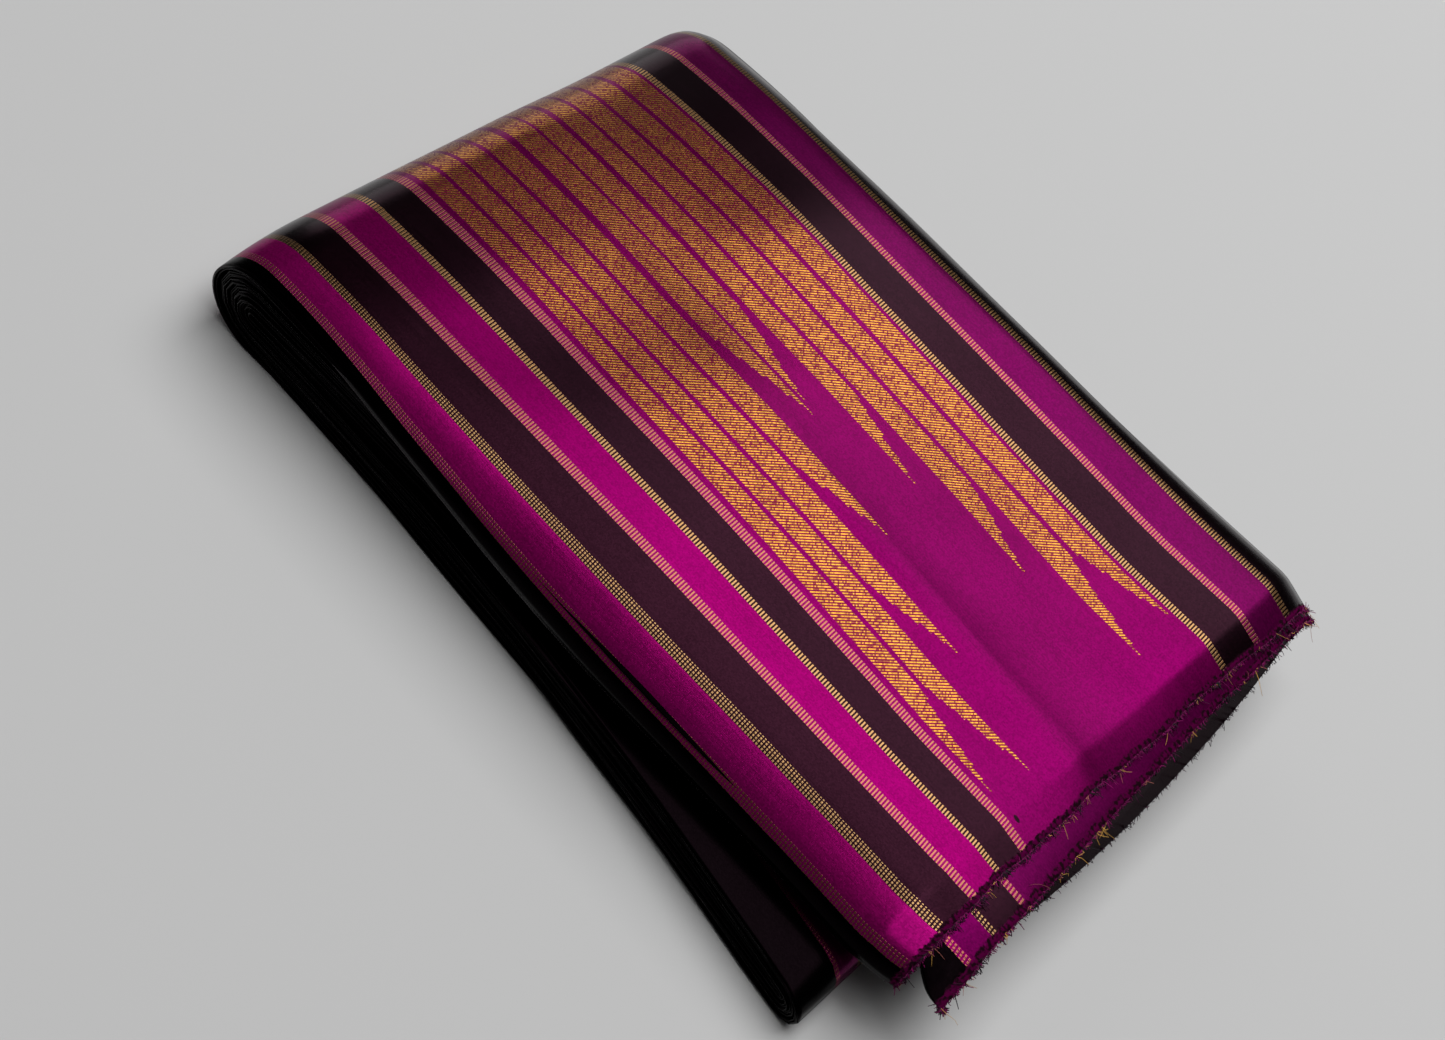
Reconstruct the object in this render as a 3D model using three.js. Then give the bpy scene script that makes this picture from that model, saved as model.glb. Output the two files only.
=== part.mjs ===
// A folded silk sari: one woven length of cloth. It is folded in five across its width, and the
// strip that this makes is halved four times along its length, so that sixteen runs of the strip
// lie on one another. The outermost run turns over the back in one broad roll.
//
// Millimetres. X crosses the strip, -Y is the front, where the cut ends lie, and Z is up.
// The origin is the middle of the underside of the bounding box.

import * as THREE from 'three';

// Driving sizes
const STRIP_WIDTH = 240;
const TOP_LENGTH = 340; // cut edge of the top run to the back of the roll
const STRIP_THICKNESS = 2.2; // five layers of silk
const RUN_PITCH = 2.8; // from one run to the next
const RUN_COUNT = 16;

// The runs, numbered from the top, in the order in which the strip passes through them
const STRIP_ORDER = [1, 16, 9, 8, 5, 12, 13, 4, 3, 14, 11, 6, 7, 10, 15, 2];

// How far the front folds stay behind the cut edge of the top run, measured at their tips
const FRONT_FOLDS = [
  { top: 3, bottom: 4, setback: 23 },
  { top: 5, bottom: 8, setback: 25 },
  { top: 9, bottom: 16, setback: 13 },
];

// Groups of runs that moved together as the sari was laid down. left and right are how far their
// edges stand out at the front, and reachLeft and reachRight how far their front corners do.
const GROUPS = [
  { lastRun: 1, left: 5, right: -3, reachLeft: 0, reachRight: 1 },
  { lastRun: 2, left: -8, right: -4, reachLeft: 16, reachRight: 5 },
  { lastRun: 4, left: -4, right: -2, reachLeft: 0, reachRight: 2 },
  { lastRun: 8, left: 1, right: -4, reachLeft: 2, reachRight: -3 },
  { lastRun: 16, left: 31, right: -23, reachLeft: 2, reachRight: -7 },
];
const SPREAD_POWER = 2; // the edges and corners part mostly near the front

// The stack is pressed thinner towards its side edges and sags in the middle of its front: the
// share of the height lost there
const SHOULDER_WIDTH = 28;
const LOST = { leftBack: 0.2, leftFront: 0.3, rightBack: 0.14, rightFront: 0.16, middleFront: 0.1 };

// The cut ends sink in front of the upper folds, along a crease behind the cut edge
const CREASE_SETBACK = 18;
const CUT_END_SINK = 4; // at the cut edge of the top run
const SINK_POWER = 1.5;

// Steps of the faceted solid
const RUN_STEPS = 6;
const HALF_TURN_STEPS = 8;
const WIDTH_STEPS = 10;

const SAME_PLACE = 1e-6; // points closer than this are one point

const SILK = new THREE.MeshStandardMaterial({ color: 0x8c006e, roughness: 0.45, metalness: 0 });

const FRONT_Y = -TOP_LENGTH / 2;
const OUTER_ROLL_RADIUS = ((RUN_COUNT - 1) / 2) * RUN_PITCH;
const ROLL_CENTRE_Y = TOP_LENGTH / 2 - OUTER_ROLL_RADIUS - STRIP_THICKNESS / 2;

function runHeight(run) {
  return STRIP_THICKNESS / 2 + (RUN_COUNT - run) * RUN_PITCH;
}

function mix(from, to, share) {
  return from + (to - from) * share;
}

// Where the turn between two runs has its centre: the back folds share one centre, and each front
// fold lies inside the fold of the table that holds both of its runs.
function turnCentreY(run, next, atBack) {
  if (atBack) {
    return ROLL_CENTRE_Y;
  }
  const holdsBoth = ({ top, bottom }) => Math.min(run, next) >= top && Math.max(run, next) <= bottom;
  const fold = FRONT_FOLDS.find(holdsBoth);
  const radius = ((fold.bottom - fold.top) / 2) * RUN_PITCH;
  return FRONT_Y + fold.setback + radius + STRIP_THICKNESS / 2;
}

// The middle line of the strip in the Y-Z plane, from the cut end on top to the one below it
function middleLine() {
  const line = new THREE.Path();
  line.moveTo(FRONT_Y, runHeight(STRIP_ORDER[0]));
  STRIP_ORDER.forEach((run, index) => {
    const atBack = index % 2 === 0;
    const next = STRIP_ORDER[index + 1];
    const endY = next ? turnCentreY(run, next, atBack) : FRONT_Y;
    const startY = line.currentPoint.x;
    for (let step = 1; step <= RUN_STEPS; step += 1) {
      line.lineTo(mix(startY, endY, step / RUN_STEPS), runHeight(run));
    }
    if (next) {
      const middle = (runHeight(run) + runHeight(next)) / 2;
      const radius = Math.abs(runHeight(run) - middle);
      const downwards = next > run;
      const start = downwards ? Math.PI / 2 : -Math.PI / 2;
      line.absarc(endY, middle, radius, start, -start, downwards === atBack);
    }
  });
  return withoutRepeats(line.getPoints(HALF_TURN_STEPS / 2));
}

function withoutRepeats(points) {
  return points.filter((point, index) => index === 0 || point.distanceTo(points[index - 1]) > SAME_PLACE);
}

// A line beside the given one, with its corners mitred so that the strip keeps its thickness
function besideLine(points, distance) {
  return points.map((point, index) => {
    const before = points[Math.max(index - 1, 0)];
    const after = points[Math.min(index + 1, points.length - 1)];
    const arriving = point.clone().sub(before).normalize();
    const leaving = after.clone().sub(point).normalize();
    const along = arriving.clone().add(leaving).normalize();
    const mitre = distance / along.dot(index > 0 ? arriving : leaving);
    return new THREE.Vector2(point.x - along.y * mitre, point.y + along.x * mitre);
  });
}

function groupAt(height) {
  const run = RUN_COUNT - (height - STRIP_THICKNESS / 2) / RUN_PITCH;
  return GROUPS.find(({ lastRun }) => run <= lastRun + 0.5) ?? GROUPS.at(-1);
}

// The share of its height that the stack keeps at a place in plan
function heightKept(x, y) {
  const front = THREE.MathUtils.clamp((TOP_LENGTH / 2 - y) / TOP_LENGTH, 0, 1);
  const shoulder = STRIP_WIDTH / 2 - SHOULDER_WIDTH;
  const left = THREE.MathUtils.clamp((-x - shoulder) / SHOULDER_WIDTH, 0, 1);
  const right = THREE.MathUtils.clamp((x - shoulder) / SHOULDER_WIDTH, 0, 1);
  const inward = 1 - THREE.MathUtils.clamp(Math.abs(x) / shoulder, 0, 1) ** 2;
  const lostLeft = mix(LOST.leftBack, LOST.leftFront, front) * left ** 2;
  const lostRight = mix(LOST.rightBack, LOST.rightFront, front) * right ** 2;
  const lostMiddle = LOST.middleFront * front ** 2 * inward ** 2;
  return 1 - lostLeft - lostRight - lostMiddle;
}

// How far the cut ends of runs 1 and 2 sink at a place along the sari
function cutEndSink(y, height) {
  const isCutEnd = height > (runHeight(2) + runHeight(3)) / 2;
  const past = Math.max(FRONT_Y + CREASE_SETBACK - y, 0) / CREASE_SETBACK;
  return isCutEnd ? CUT_END_SINK * past ** SINK_POWER : 0;
}

// Moves a point of the straight, even stack to where it lies in the sari as it was put down
function settle(point) {
  const group = groupAt(point.z);
  const front = THREE.MathUtils.clamp((ROLL_CENTRE_Y - point.y) / (ROLL_CENTRE_Y - FRONT_Y), 0, 1);
  const across = 0.5 + point.x / STRIP_WIDTH;
  const x = point.x + front ** SPREAD_POWER * mix(-group.left, group.right, across);
  const y = point.y - front ** SPREAD_POWER * mix(group.reachLeft, group.reachRight, across);
  const z = (point.z - cutEndSink(y, point.z)) * heightKept(x, y);
  return point.set(x, y, z);
}

// Stations across the strip lie closer together at its edges, where the shoulders bend
function stationX(share) {
  return (STRIP_WIDTH / 2) * Math.sin(share * Math.PI);
}

// A flat strip, divided as the middle line is, is bent along that line and then settled
function sariGeometry() {
  const middle = middleLine();
  const upperFace = besideLine(middle, STRIP_THICKNESS / 2);
  const lowerFace = besideLine(middle, -STRIP_THICKNESS / 2);
  const lengthSteps = middle.length - 1;
  const geometry = new THREE.BoxGeometry(1, 1, 1, WIDTH_STEPS, lengthSteps, 1);
  const position = geometry.getAttribute('position');
  const point = new THREE.Vector3();
  for (let index = 0; index < position.count; index += 1) {
    const step = Math.round((position.getY(index) + 0.5) * lengthSteps);
    const place = (position.getZ(index) > 0 ? upperFace : lowerFace)[step];
    settle(point.set(stationX(position.getX(index)), place.x, place.y));
    position.setXYZ(index, point.x, point.y, point.z);
  }
  geometry.computeBoundingBox();
  const centre = geometry.boundingBox.getCenter(new THREE.Vector3());
  geometry.translate(-centre.x, -centre.y, -geometry.boundingBox.min.z);
  geometry.computeVertexNormals();
  return geometry;
}

const sari = new THREE.Group();
const cloth = new THREE.Mesh(sariGeometry(), SILK);
cloth.name = 'sari_cloth';
sari.add(cloth);

export default sari;
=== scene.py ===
"""A folded silk sari on a pale floor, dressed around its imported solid.

The sari is one woven length. It is folded in five across its width, and the strip that this makes
is halved four times along its length, so that sixteen runs of the strip lie on one another. Sizes
are millimetres in the sari's own axes: X crosses the strip, -Y is the front, where the cut ends
lie, Z is up, and the origin is under the middle of the straight stack. Meshes are written in metres
of the frame.
"""

import logging
from collections.abc import Callable
from dataclasses import dataclass
from enum import Enum
from typing import NamedTuple

import bpy
import numpy as np
from mathutils import Matrix, Vector


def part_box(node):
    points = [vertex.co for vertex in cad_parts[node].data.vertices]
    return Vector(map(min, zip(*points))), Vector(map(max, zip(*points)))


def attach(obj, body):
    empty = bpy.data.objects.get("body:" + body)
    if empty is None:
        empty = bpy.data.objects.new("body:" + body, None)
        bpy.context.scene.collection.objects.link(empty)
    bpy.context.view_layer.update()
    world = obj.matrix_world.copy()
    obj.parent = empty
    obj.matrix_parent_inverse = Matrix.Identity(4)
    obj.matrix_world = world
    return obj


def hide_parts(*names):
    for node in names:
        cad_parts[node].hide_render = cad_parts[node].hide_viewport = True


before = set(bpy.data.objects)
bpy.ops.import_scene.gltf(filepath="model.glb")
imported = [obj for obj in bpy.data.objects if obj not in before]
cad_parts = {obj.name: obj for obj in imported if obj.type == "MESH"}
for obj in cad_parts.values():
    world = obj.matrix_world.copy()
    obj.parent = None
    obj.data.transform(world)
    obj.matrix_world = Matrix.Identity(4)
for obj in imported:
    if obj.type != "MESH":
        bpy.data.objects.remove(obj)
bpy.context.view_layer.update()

LOG = logging.getLogger("sari")
CLOTH_NODE = "sari_cloth"
BODY = "root"
CLOTH_PLACE = "cloth_place"  # three numbers for each point: lane, length from the cut end, layer
YARN_TONE = "yarn_tone"  # a colour for each point of the loose yarn
TEXTURE_MAP = "OFBake"
METRES = 0.001  # one millimetre

Array = np.ndarray
Socket = bpy.types.NodeSocket
Pair = tuple[float, float]
Triple = tuple[float, float, float]
Colour = Triple


def smooth_step(value: Array, low: float, high: float) -> Array:
    """Rises from 0 at low to 1 at high along the curve 3t^2 - 2t^3.

    Args:
        value: Where the step is wanted.
        low: Where the step starts.
        high: Where the step ends, below low for a falling step.

    Returns:
        The height of the step at each value.
    """
    share = np.clip((value - low) / (high - low), 0.0, 1.0)
    return share * share * (3.0 - 2.0 * share)


def fading(value: Array, length: float) -> Array:
    """Falls evenly from 1 at zero to 0 at a length."""
    return np.clip(1.0 - value / length, 0.0, 1.0)


@dataclass(frozen=True)
class FrontFold:
    """A front fold that holds the runs from top to bottom, its tip behind the cut edge."""

    top: int
    bottom: int
    setback: float


@dataclass(frozen=True)
class RunGroup:
    """Runs that moved together as the sari was laid down, and how far they stand out in front."""

    last_run: int
    left: float
    right: float
    reach_left: float
    reach_right: float


@dataclass(frozen=True)
class MiddleLine:
    """The middle line of the strip: places, normals, length from the cut end, and run numbers."""

    y: Array
    z: Array
    normal_y: Array
    normal_z: Array
    along: Array
    run: Array


@dataclass(frozen=True)
class FoldPlan:
    """The halved strip as a straight, even stack of sixteen runs, numbered from the top."""

    width: float = 240.0
    length: float = 340.0
    thickness: float = 2.2
    pitch: float = 2.8
    order: tuple[int, ...] = (1, 16, 9, 8, 5, 12, 13, 4, 3, 14, 11, 6, 7, 10, 15, 2)
    front_folds: tuple[FrontFold, ...] = (
        FrontFold(3, 4, 23.0),
        FrontFold(5, 8, 25.0),
        FrontFold(9, 16, 13.0),
    )
    cut_zone: float = 30.0
    cut_zone_steps: int = 20
    top_steps: int = 76
    seen_run_steps: int = 20
    hidden_run_steps: int = 6
    roll_steps: int = 22
    turn_steps: int = 6

    @property
    def front(self) -> float:
        """Y of the top run's cut edge."""
        return -self.length / 2

    @property
    def roll_centre(self) -> float:
        """Y of the centre that all the back turns share."""
        outer_radius = (len(self.order) - 1) / 2 * self.pitch
        return self.length / 2 - outer_radius - self.thickness / 2

    def run_height(self, run: int) -> float:
        """Height of a run's middle above the floor."""
        return self.thickness / 2 + (len(self.order) - run) * self.pitch

    def turn_centre(self, run: int, following: int, at_back: bool) -> float:
        """Finds the Y of a turn's centre, which a front turn takes from the fold that holds it.

        Args:
            run: The run that leads into the turn.
            following: The run that leaves it.
            at_back: Whether the turn is at the back of the sari.

        Returns:
            The Y of the centre.
        """
        if at_back:
            return self.roll_centre
        upper, lower = min(run, following), max(run, following)
        fold = next(f for f in self.front_folds if f.top <= upper and lower <= f.bottom)
        radius = (fold.bottom - fold.top) / 2 * self.pitch
        return self.front + fold.setback + radius + self.thickness / 2

    def stations(self, run: int, start: float, end: float) -> Array:
        """Spaces the rows along a run, closest where its cut end shows.

        Args:
            run: The run's number.
            start: Y where the run starts.
            end: Y where it ends.

        Returns:
            The Y of each row, from start to end.
        """
        if run == self.order[0]:
            edge = np.linspace(start, start + self.cut_zone, self.cut_zone_steps + 1)
            return np.append(edge[:-1], np.linspace(edge[-1], end, self.top_steps + 1))
        seen = run in (self.order[1], self.order[2], self.order[-1])
        return np.linspace(start, end, (self.seen_run_steps if seen else self.hidden_run_steps) + 1)

    def middle_line(self) -> MiddleLine:
        """Carries the strip through its runs, a straight row for each, and half circles between.

        Returns:
            The middle line, with normals on the left of the way that the strip runs.
        """
        pieces = []
        start = self.front
        for index, run in enumerate(self.order):
            at_back = index % 2 == 0
            last = index == len(self.order) - 1
            end = self.front if last else self.turn_centre(run, self.order[index + 1], at_back)
            y = self.stations(run, start, end)
            heading = np.sign(end - start)
            flat = np.ones_like(y)
            pieces.append((y, self.run_height(run) * flat, 0.0 * flat, heading * flat, run * flat))
            if not last:
                pieces.append(self.half_turn(run, self.order[index + 1], end, at_back))
            start = end
        y, z, normal_y, normal_z, run = (
            np.concatenate([piece[k][(1 if n else 0):] for n, piece in enumerate(pieces)])
            for k in range(5)
        )
        along = np.append(0.0, np.cumsum(np.hypot(np.diff(y), np.diff(z))))
        return MiddleLine(y, z, normal_y, normal_z, along, run.astype(int))

    def half_turn(self, run: int, following: int, centre: float, at_back: bool) -> tuple[Array, ...]:
        """Half a circle from one run to the next, bulging to the back or to the front.

        Args:
            run: The run that leads into the turn.
            following: The run that leaves it.
            centre: The Y of its centre.
            at_back: Whether it bulges to the back.

        Returns:
            Arrays of Y, Z, the normal's Y and Z, and the leading run's number.
        """
        middle = (self.run_height(run) + self.run_height(following)) / 2
        radius = abs(self.run_height(run) - middle)
        downwards = following > run
        sense = -1.0 if downwards == at_back else 1.0
        first = np.pi / 2 if downwards else -np.pi / 2
        steps = self.roll_steps if run == self.order[0] else self.turn_steps
        angle = first + sense * np.linspace(0.0, np.pi, steps + 1)
        y = centre + radius * np.cos(angle)
        z = middle + radius * np.sin(angle)
        return y, z, -sense * np.cos(angle), -sense * np.sin(angle), np.full(steps + 1, run)


@dataclass(frozen=True)
class SettledStack:
    """How the straight stack lies after it was put down: spread in front, pressed at its sides."""

    plan: FoldPlan
    groups: tuple[RunGroup, ...] = (
        RunGroup(1, 5.0, -3.0, 0.0, 1.0),
        RunGroup(2, -8.0, -4.0, 16.0, 5.0),
        RunGroup(4, -4.0, -2.0, 0.0, 2.0),
        RunGroup(8, 1.0, -4.0, 2.0, -3.0),
        RunGroup(16, 31.0, -23.0, 2.0, -7.0),
    )
    left_shoulder: float = 34.0
    right_shoulder: float = 22.0
    lost_left: Pair = (0.18, 0.21)  # share of the height, at the back and the front
    lost_ledge: float = 0.09  # further share, where the lower folds stand out on the left
    ledge_slope: Pair = (127.0, 142.0)
    lost_right: Pair = (0.2, 0.23)
    lost_middle: float = 0.1
    crease_setback: float = 18.0
    cut_end_sink: float = 4.0  # at the right edge, none at the left
    sink_power: float = 1.25
    back_slope: float = 70.0
    lost_back: float = 0.04
    lost_back_right: float = 0.07
    back_spread: float = 0.4
    roll_share: float = 0.055  # a slow wave along the right half, of this share of the height
    roll_length: float = 235.0
    roll_crest: float = 52.0
    roll_grows: Pair = (5.0, 65.0)
    roll_fades: Pair = (35.0, 122.0)
    roll_lost: float = 0.7  # share of the wave that fades away

    def height_kept(self, x: Array, y: Array) -> Array:
        """The share of its height that the stack keeps at a place in plan.

        It loses a square law over the left shoulder and along the back, a cube law over the right
        shoulder, and a soft dip in the middle of the front. The right half rises and falls with a
        cosine along the sari.

        Args:
            x: Places across the sari.
            y: Places along it.

        Returns:
            The share at each place.
        """
        half = self.plan.width / 2 - self.right_shoulder
        edge = self.plan.width / 2 - self.left_shoulder
        front = np.clip((self.plan.length / 2 - y) / self.plan.length, 0.0, 1.0)
        left = np.clip((-x - edge) / self.left_shoulder, 0.0, 1.0) ** 2
        right = np.clip((x - half) / self.right_shoulder, 0.0, 1.0) ** 3
        inward = 1.0 - np.clip(np.abs(x) / half, 0.0, 1.0) ** 2
        back = np.clip((y - self.plan.length / 2) / self.back_slope + 1.0, 0.0, 1.0) ** 2
        to_right = np.clip(x / self.plan.width + self.back_spread, 0.0, 1.0)
        lost = left * np.interp(front, (0.0, 1.0), self.lost_left)
        lost = lost + self.lost_ledge * front * smooth_step(-x, *self.ledge_slope)
        lost = lost + right * np.interp(front, (0.0, 1.0), self.lost_right)
        lost = lost + self.lost_middle * front**2 * inward**2
        lost = lost + back * (self.lost_back + self.lost_back_right * to_right)
        phase = 2.0 * np.pi * (y - self.roll_crest) / self.roll_length
        rolling = self.roll_share * smooth_step(x, *self.roll_grows)
        rolling = rolling * (1.0 - self.roll_lost * smooth_step(x, *self.roll_fades))
        return 1.0 - lost + rolling * np.cos(phase)

    def place(self, x: Array, y: Array, z: Array, run: Array) -> Array:
        """Moves points of the straight stack to where they lie in the settled sari.

        Args:
            x: Places across the straight stack.
            y: Places along it.
            z: Heights in it.
            run: The run that each point belongs to.

        Returns:
            The settled points, with X, Y and Z in the last axis.
        """
        last = [group.last_run for group in self.groups]
        table = np.array([[g.left, g.right, g.reach_left, g.reach_right] for g in self.groups])
        left, right, reach_left, reach_right = np.moveaxis(table[np.searchsorted(last, run)], -1, 0)
        centre = self.plan.roll_centre
        front = np.clip((centre - y) / (centre - self.plan.front), 0.0, 1.0) ** 2
        across = 0.5 + x / self.plan.width
        moved_x = x + front * (right * across - left * (1.0 - across))
        moved_y = y - front * (reach_left * (1.0 - across) + reach_right * across)
        past = np.maximum(self.plan.front + self.crease_setback - moved_y, 0.0) / self.crease_setback
        sink = self.cut_end_sink * np.clip(across, 0.0, 1.0) * past**self.sink_power
        sink = np.where(run <= 2, sink, 0.0)
        moved_z = (z - sink) * self.height_kept(moved_x, moved_y)
        return np.stack([moved_x, moved_y, moved_z], axis=-1)


@dataclass(frozen=True)
class Columns:
    """The sheet's columns: width layer, share across from the left, offset and cloth place."""

    layer: Array
    across: Array
    bulge: Array
    offset: Array
    lane: Array
    width: Array


@dataclass
class SariCloth:
    """The sari's one sheet, a zigzag of five width layers swept along the folded middle line."""

    plan: FoldPlan
    stack: SettledStack
    name: str = "silk_cloth"
    seed: int = 7
    layers: int = 5
    layer_pitch: float = 0.44
    silk: float = 0.3  # thickness of one layer
    layer_width: float = 243.3  # cloth in one layer, from fold to fold
    top_columns: int = 66
    under_columns: int = 16
    fold_columns: int = 3
    even_share: float = 0.4  # how evenly the columns of the lower layers are spaced
    hem_columns: float = 0.22  # share of the top layer's columns that lie in its free hem
    reference_steps: int = 400
    flat_width: float = 1.23  # the flat cloth's size in metres
    flat_length: float = 5.09
    edge_wander: float = 1.3
    wander_lengths: Pair = (90.0, 420.0)
    reach_left: tuple[float, ...] = (1.5, 16.5, 16.0, 15.0, 14.5)  # layers of the top run
    reach_right: tuple[float, ...] = (-2.5, 1.0, 1.0, 1.5, 1.5)
    reach_middle: float = -1.5  # and the top layer's in its middle, on top of that
    reach_length: float = 150.0
    reach_power: float = 1.6  # how fast the left reach falls off towards the right
    ragged: tuple[Triple, ...] = ((0.45, 23.0, 2.1), (0.3, 51.0, 1.3))
    ragged_length: float = 12.0
    inset_left: tuple[float, ...] = (0.0, 11.5, 11.5, 12.5, 12.5)
    inset_length: float = 130.0
    corner_flare: float = 6.5  # how far the lower layers' corner springs back out
    flare_fade: Pair = (15.0, 2.0)
    flare_share: float = 0.035  # share of the width that springs out
    corner_pull: float = 4.5  # how far the left corner of the cut edge is pulled to the right
    pull_length: float = 22.0
    pull_share: float = 0.3
    hem: float = 14.0  # cloth of the top layer that hangs over the left side in front
    hem_back: float = 1.5  # and at the back
    hem_grows: Pair = (150.0, -40.0)
    hem_share: float = 0.1  # share of the width over which that cloth is let out
    hem_angles: Pair = (0.5, 1.5)  # its slope where it leaves the top and at its edge
    second_hang: float = -5.0  # further reach of the other cut end at its corners
    second_belly: float = 7.0  # and how much more in its middle
    second_length: float = 120.0
    parting: float = 25.0  # length over which the layers part at the cut end
    parting_left: float = 1.8
    parting_right: float = 0.4
    parting_step: float = 0.25
    drift: float = 7.5  # how far the top layer is pulled to the left in front
    drift_start: float = 78.0
    drift_length: float = 195.0
    drift_lanes: tuple[float, ...] = (0.0, 16.0, 32.0, 55.0, 72.0, 198.0, 212.0, 230.0, 243.3)
    drift_shares: tuple[float, ...] = (-0.6, -0.42, 0.05, 0.6, 1.0, 1.0, 0.8, 0.4, 0.0)
    crease_top: Pair = (-13.0, -40.0)  # the old lengthwise crease in the field
    crease_foot: Pair = (-22.0, -164.0)
    crease_rise: float = 3.6
    crease_fade: Pair = (90.0, -20.0)
    crease_left: float = 60.0
    crease_right: float = 32.0
    ripple: float = 0.22
    ripple_lengths: tuple[Pair, ...] = ((13.0, 31.0), (-41.0, 17.0), (29.0, 11.0))
    end_crease: float = 13.0  # the pressed line along the cut end, from the cut
    end_rise: float = 0.9
    end_sink: float = 1.6
    end_slope: float = 50.0
    map_across: tuple[float, ...] = (0.01, 0.66, 0.99)  # the texture's share of each part
    map_along: tuple[float, ...] = (0.01, 0.6, 0.8, 0.95, 0.99)
    map_end: float = 60.0

    def columns(self, reference: Array) -> Columns:
        """Lays the columns out: each layer in turn, with half a circle of cloth between two.

        Args:
            reference: Shares across and cloth places of a settled top row, one above the other.

        Returns:
            The columns from the free edge of the top layer to that of the lowest.
        """
        parts = []
        middle = (self.layers - 1) / 2
        turn = np.linspace(0.0, np.pi, self.fold_columns + 2)[1:-1]
        for layer in range(self.layers):
            count = self.under_columns if layer else self.top_columns
            even = np.linspace(0.0, 1.0, count)
            eased = (1.0 - np.cos(np.pi * even)) / 2
            share = self.even_share * even + (1.0 - self.even_share) * eased
            if layer == 0:
                share = np.interp(even, (0.0, self.hem_columns, 1.0), (0.0, self.hem_share, 1.0))
            across = share if layer % 2 == 0 else 1.0 - share
            lane = np.interp(across, reference[0], reference[1])
            if layer == 0:
                lane = lane - self.hem * fading(across, self.hem_share)
            height = (middle - layer) * self.layer_pitch
            blank = np.zeros(count)
            wide = layer * self.layer_width + (lane if layer % 2 == 0 else self.layer_width - lane)
            parts.append((blank + layer, across, blank, blank + height, lane, wide))
            if layer < self.layers - 1:
                side = 1.0 if layer % 2 == 0 else 0.0
                bulge = (2.0 * side - 1.0) * np.sin(turn) * self.layer_pitch / 2
                drop = height - self.layer_pitch * (1.0 - np.cos(turn)) / 2
                blank = np.zeros(self.fold_columns)
                which = layer + (turn > np.pi / 2)
                parts.append((which, blank + side, bulge, drop, blank + side * self.layer_width,
                              blank + (layer + 1) * self.layer_width))
        return Columns(*(np.concatenate(column) for column in zip(*parts)))

    def reference_row(self) -> Array:
        """Measures the cloth across the settled top run where it lies evenly.

        Returns:
            Shares across, and the cloth from the left edge to them, one above the other.
        """
        across = np.linspace(0.0, 1.0, self.reference_steps)
        x = (across - 0.5) * self.plan.width
        y = np.full_like(x, self.drift_start)
        z = np.full_like(x, self.plan.run_height(1))
        row = self.stack.place(x, y, z, np.ones(len(x), int))
        steps = np.linalg.norm(np.diff(row, axis=0), axis=1)
        lane = np.append(0.0, np.cumsum(steps))
        return np.stack([across, lane * self.layer_width / lane[-1]])

    def wander(self, along: Array, rows: int) -> Array:
        """Lets fold lines stray: three slow waves of seeded phase and length, added up.

        Args:
            along: Length along the strip.
            rows: How many fold lines.

        Returns:
            How far each line strays, a row for each.
        """
        draw = np.random.default_rng(self.seed)
        lengths = draw.uniform(*self.wander_lengths, (rows, 3, 1))
        phases = draw.uniform(0.0, 2.0 * np.pi, (rows, 3, 1))
        waves = np.sin(2.0 * np.pi * along / lengths + phases)
        return self.edge_wander * waves.mean(axis=1)

    def points(self, line: MiddleLine, columns: Columns) -> Array:
        """Works out the sheet: the section swept along the middle line, then settled.

        A point is the middle line's place plus its layer's offset along the normal. At the cut ends
        the layers reach past one another, part and bend down. The top layer of the top run drifts
        to the left in front, has its own relief, and hangs over the left side with its free hem.

        Args:
            line: The strip's middle line.
            columns: The sheet's columns.

        Returns:
            The points, in rows along the strip and columns across it.
        """
        along = line.along[:, None]
        from_end = line.along[-1] - along
        run = np.broadcast_to(line.run[:, None], (len(line.along), len(columns.layer)))
        layer = columns.layer.astype(int)
        across = columns.across
        top_run, last_run = (run == self.plan.order[end] for end in (0, -1))
        upper = top_run & (layer == 0)
        strays = self.wander(line.along, self.layers + 1)
        left_fold = strays[(layer + 1) // 2].T
        right_fold = strays[3 + layer // 2].T
        half = self.plan.width / 2
        x = -half - left_fold + across * (2 * half + left_fold + right_fold) + columns.bulge
        y = line.y[:, None] + columns.offset * line.normal_y[:, None]
        z = line.z[:, None] + columns.offset * line.normal_z[:, None]
        y = y - np.where(top_run, self.cut_reach(along, layer, across), 0.0)
        y = y - np.where(last_run, self.second_reach(from_end, across), 0.0)
        let_out, hem_x, hem_z = self.hem_path(y, across)
        x = x - np.where(upper, self.drifted(y, columns.lane), 0.0)
        x = x + np.where(top_run, self.corner_shift(along, layer, across), 0.0)
        x = x - np.where(upper, let_out, 0.0)
        points = self.stack.place(x, y, z, run)
        from_cut = np.where(top_run, along, from_end)
        below = np.where(top_run, layer, 2 * self.layers - layer)
        lowered = self.lowered(from_cut, below, across)
        points[..., 2] -= np.where(top_run | last_run, lowered, 0.0)
        pressed = (0.0, self.end_crease, self.end_crease + self.end_slope)
        raised = self.relief(points[..., 0], points[..., 1])
        raised = raised + self.end_rise * np.interp(along, pressed, (0.0, 1.0, 0.0))
        hanging = hem_z * np.clip(z / self.plan.run_height(1), 0.0, 1.0) ** 2
        points[..., 0] -= np.where(upper, hem_x, 0.0)
        points[..., 2] += np.where(upper, raised - hanging, 0.0)
        return points

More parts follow.
